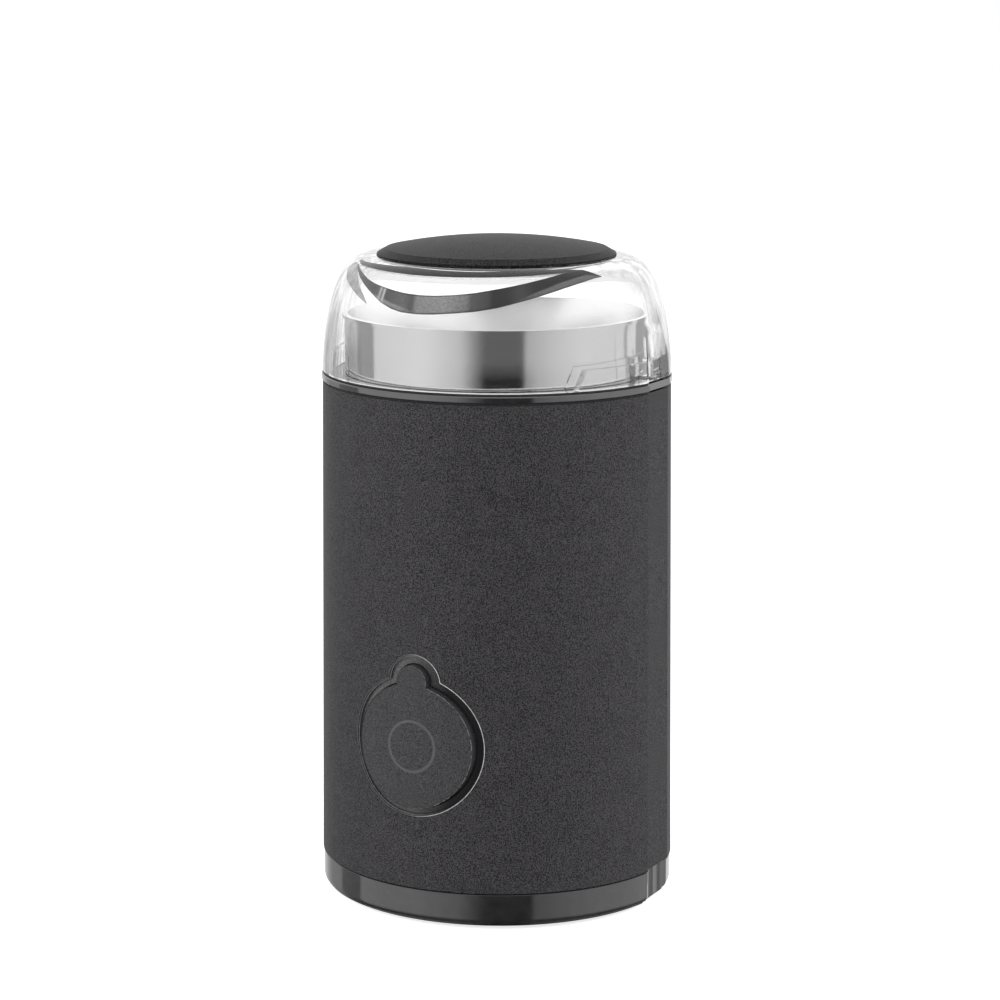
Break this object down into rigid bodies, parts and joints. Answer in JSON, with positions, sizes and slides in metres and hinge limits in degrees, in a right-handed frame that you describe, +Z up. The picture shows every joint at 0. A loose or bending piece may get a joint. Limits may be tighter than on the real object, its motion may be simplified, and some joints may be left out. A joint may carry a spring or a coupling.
{
  "type": "electric spice grinder",
  "caption": "Electric spice grinder with a clear lift-off lid, steel bowl with a spinning blade, and a push button on an oval body.",
  "frame": {"origin": "on the table under the middle of the body, level with the underside of the rubber feet", "axes": "+Z up along the motor shaft and the lid's lift; -Y out of the front, through the push button; +X to the right as seen from the front"},
  "size_m": [0.0938, 0.0922, 0.1722],
  "materials": {
    "clear_plastic": "clear gloss moulded plastic",
    "cap_black": "fine matt black",
    "gloss_black": "polished black",
    "soft_black": "soft-touch matt charcoal",
    "bowl_steel": "brushed round",
    "blade_steel": "satin with ground edges",
    "zinc_steel": "zinc plated",
    "brass": "plain",
    "bronze": "sintered, oiled",
    "copper": "enamelled copper wire",
    "lamination": "stacked electrical steel",
    "rubber_black": "matt",
    "seal_silicone": "matt silicone",
    "inner_plastic": "plain moulded",
    "white_plastic": "plain moulded",
    "switch_black": "moulded",
    "red_plastic": "moulded",
    "carbon": "pressed graphite"
  },
  "bodies": {
    "housing": {"collar_ring": "gloss_black", "grinding_bowl": "bowl_steel", "bowl_seal": "seal_silicone", "bowl_carrier": "inner_plastic", "body_shell": "soft_black", "button_tray": "gloss_black", "button_spring": "zinc_steel", "switch_body": "switch_black", "switch_bracket": "white_plastic", "switch_terminals": "brass", "interlock_spring": "zinc_steel", "safety_switch": "switch_black", "interlock_tower": "white_plastic", "upper_bearing": "bronze", "lower_bearing": "bronze", "upper_bracket": "zinc_steel", "lower_bracket": "zinc_steel", "stator_core": "lamination", "field_coils": "copper", "brush_holders": "brass", "carbon_brushes": "carbon", "brush_springs": "zinc_steel", "rubber_mounts": "rubber_black", "mount_screws": "zinc_steel", "motor_bolts": "zinc_steel", "terminal_block": "white_plastic", "cord_gland": "rubber_black", "base_trim_front": "gloss_black", "base_trim_rear": "gloss_black", "base_plate": "inner_plastic", "rubber_feet": "rubber_black", "base_screws": "zinc_steel"},
    "lid": {"lid_dome": "clear_plastic", "lid_cap": "cap_black"},
    "button": {"button": "soft_black"},
    "switch_lever": {"switch_lever": "zinc_steel"},
    "switch_plunger": {"switch_plunger": "red_plastic"},
    "interlock_rod": {"interlock_rod": "white_plastic"},
    "rotor": {"motor_shaft": "zinc_steel", "blade": "blade_steel", "blade_hub": "switch_black", "blade_nut": "brass", "armature_core": "lamination", "armature_winding": "copper", "commutator": "brass", "cooling_fan": "inner_plastic"}
  },
  "joints": [
    {"name": "lid_lift", "type": "slide", "parent": "housing", "child": "lid", "axis": [0, 0, 1], "range_m": [0, 0.06]},
    {"name": "button_press", "type": "slide", "parent": "housing", "child": "button", "axis": [0, 1, 0], "range_m": [0, 0.0028], "stiffness_N_per_m": 600, "springref_m": -0.002, "deforming": ["button_spring"]},
    {"name": "rotor_spin", "type": "hinge", "parent": "housing", "child": "rotor", "pos_m": [0, 0, 0.06], "axis": [0, 0, 1], "continuous": true},
    {"name": "lever_turn", "type": "hinge", "parent": "housing", "child": "switch_lever", "pos_m": [-0.009, -0.02994, 0.0363], "axis": [0, 0, 1], "range_deg": [0, 10.2]},
    {"name": "plunger_press", "type": "slide", "parent": "housing", "child": "switch_plunger", "axis": [0, 1, 0], "range_m": [0, 0.00112]},
    {"name": "interlock_rise", "type": "slide", "parent": "housing", "child": "interlock_rod", "axis": [0, 0, 1], "range_m": [0, 0.00181], "deforming": ["interlock_spring"]}
  ],
  "couplings": [
    {"joint": "lever_turn", "follows": "button_press", "rad_per_m": 62.333},
    {"joint": "plunger_press", "follows": "button_press", "ratio": 0.3929},
    {"joint": "interlock_rise", "follows": "lid_lift", "ratio": 0.03}
  ]
}
